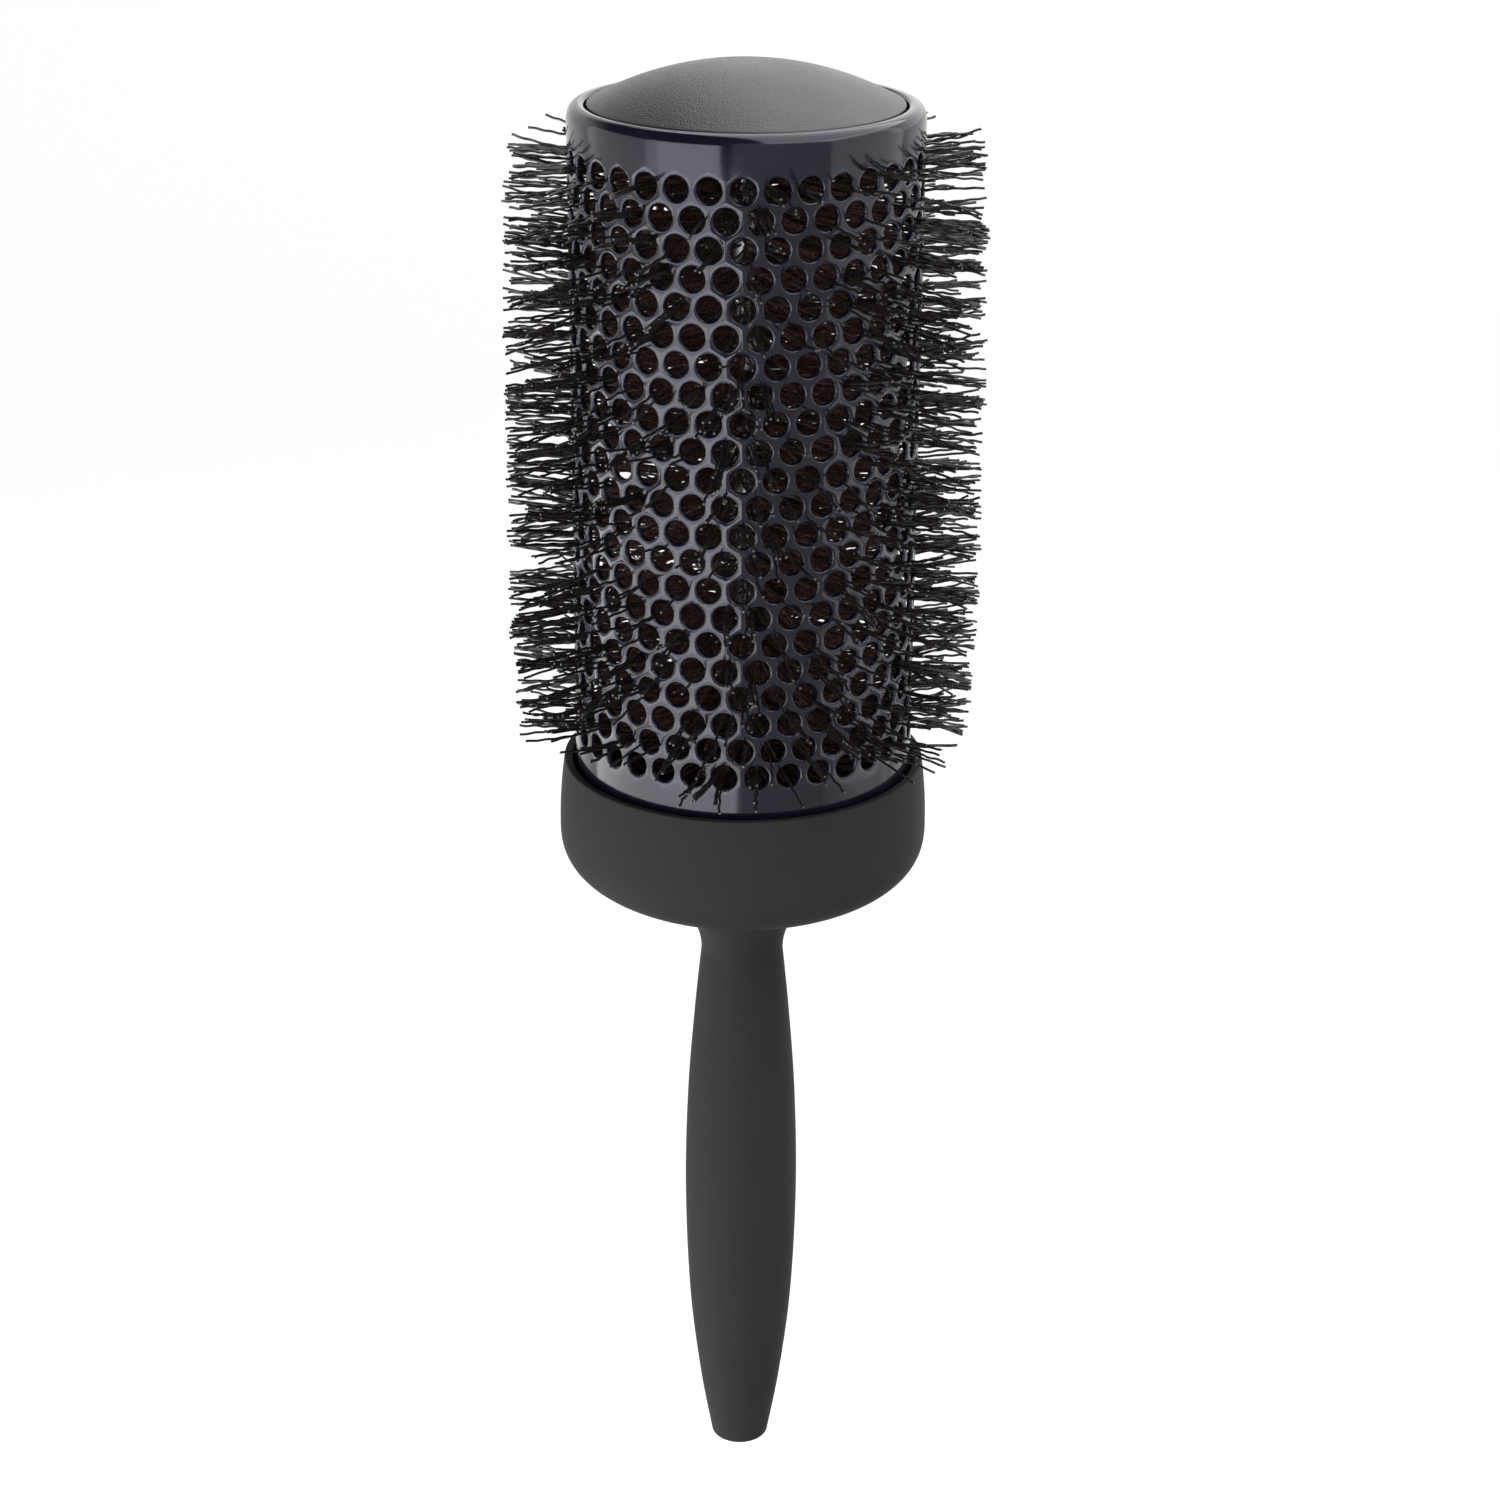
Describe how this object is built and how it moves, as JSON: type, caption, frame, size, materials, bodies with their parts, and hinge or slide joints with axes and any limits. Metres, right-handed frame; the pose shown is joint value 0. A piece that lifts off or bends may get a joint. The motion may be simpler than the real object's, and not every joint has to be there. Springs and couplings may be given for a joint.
{
  "type": "round barrel hair brush",
  "caption": "Round thermal hair brush: perforated dark metal barrel with nylon bristles from a twisted wire stem, domed end cap, cup-shaped collar and tapered soft-touch handle.",
  "frame": {"origin": "centre of the flat end of the handle", "axes": "+Z along the axis of the brush from the handle's end towards the domed cap; the brush is round, so X and Y are free, and -Y faces the viewer"},
  "size_m": [0.072, 0.0723, 0.236],
  "materials": {
    "barrel_enamel": "glossy dark blue-grey enamel on aluminium",
    "soft_touch": "matte soft-touch, charcoal",
    "cap_soft_touch": "matte soft-touch plastic with a fine grain, dark grey",
    "moulded_plastic": "plain black moulding",
    "bristle_nylon": "black crimped nylon filament",
    "steel": "drawn stainless wire and pressed steel"
  },
  "bodies": {
    "root": {"handle_grip": "soft_touch", "handle_core": "moulded_plastic", "collar_cup": "soft_touch", "barrel": "barrel_enamel", "base_plug": "moulded_plastic", "end_plug": "moulded_plastic", "end_cap": "cap_soft_touch", "base_screw_1": "steel", "base_screw_2": "steel", "base_screw_3": "steel", "stem_wire_a": "steel", "stem_wire_b": "steel", "lower_stem_ferrule": "steel", "upper_stem_ferrule": "steel", "bristle_row_01": "bristle_nylon", "bristle_row_02": "bristle_nylon", "bristle_row_03": "bristle_nylon", "bristle_row_04": "bristle_nylon", "bristle_row_05": "bristle_nylon", "bristle_row_06": "bristle_nylon", "bristle_row_07": "bristle_nylon", "bristle_row_08": "bristle_nylon", "bristle_row_09": "bristle_nylon", "bristle_row_10": "bristle_nylon", "bristle_row_11": "bristle_nylon"}
  },
  "joints": []
}
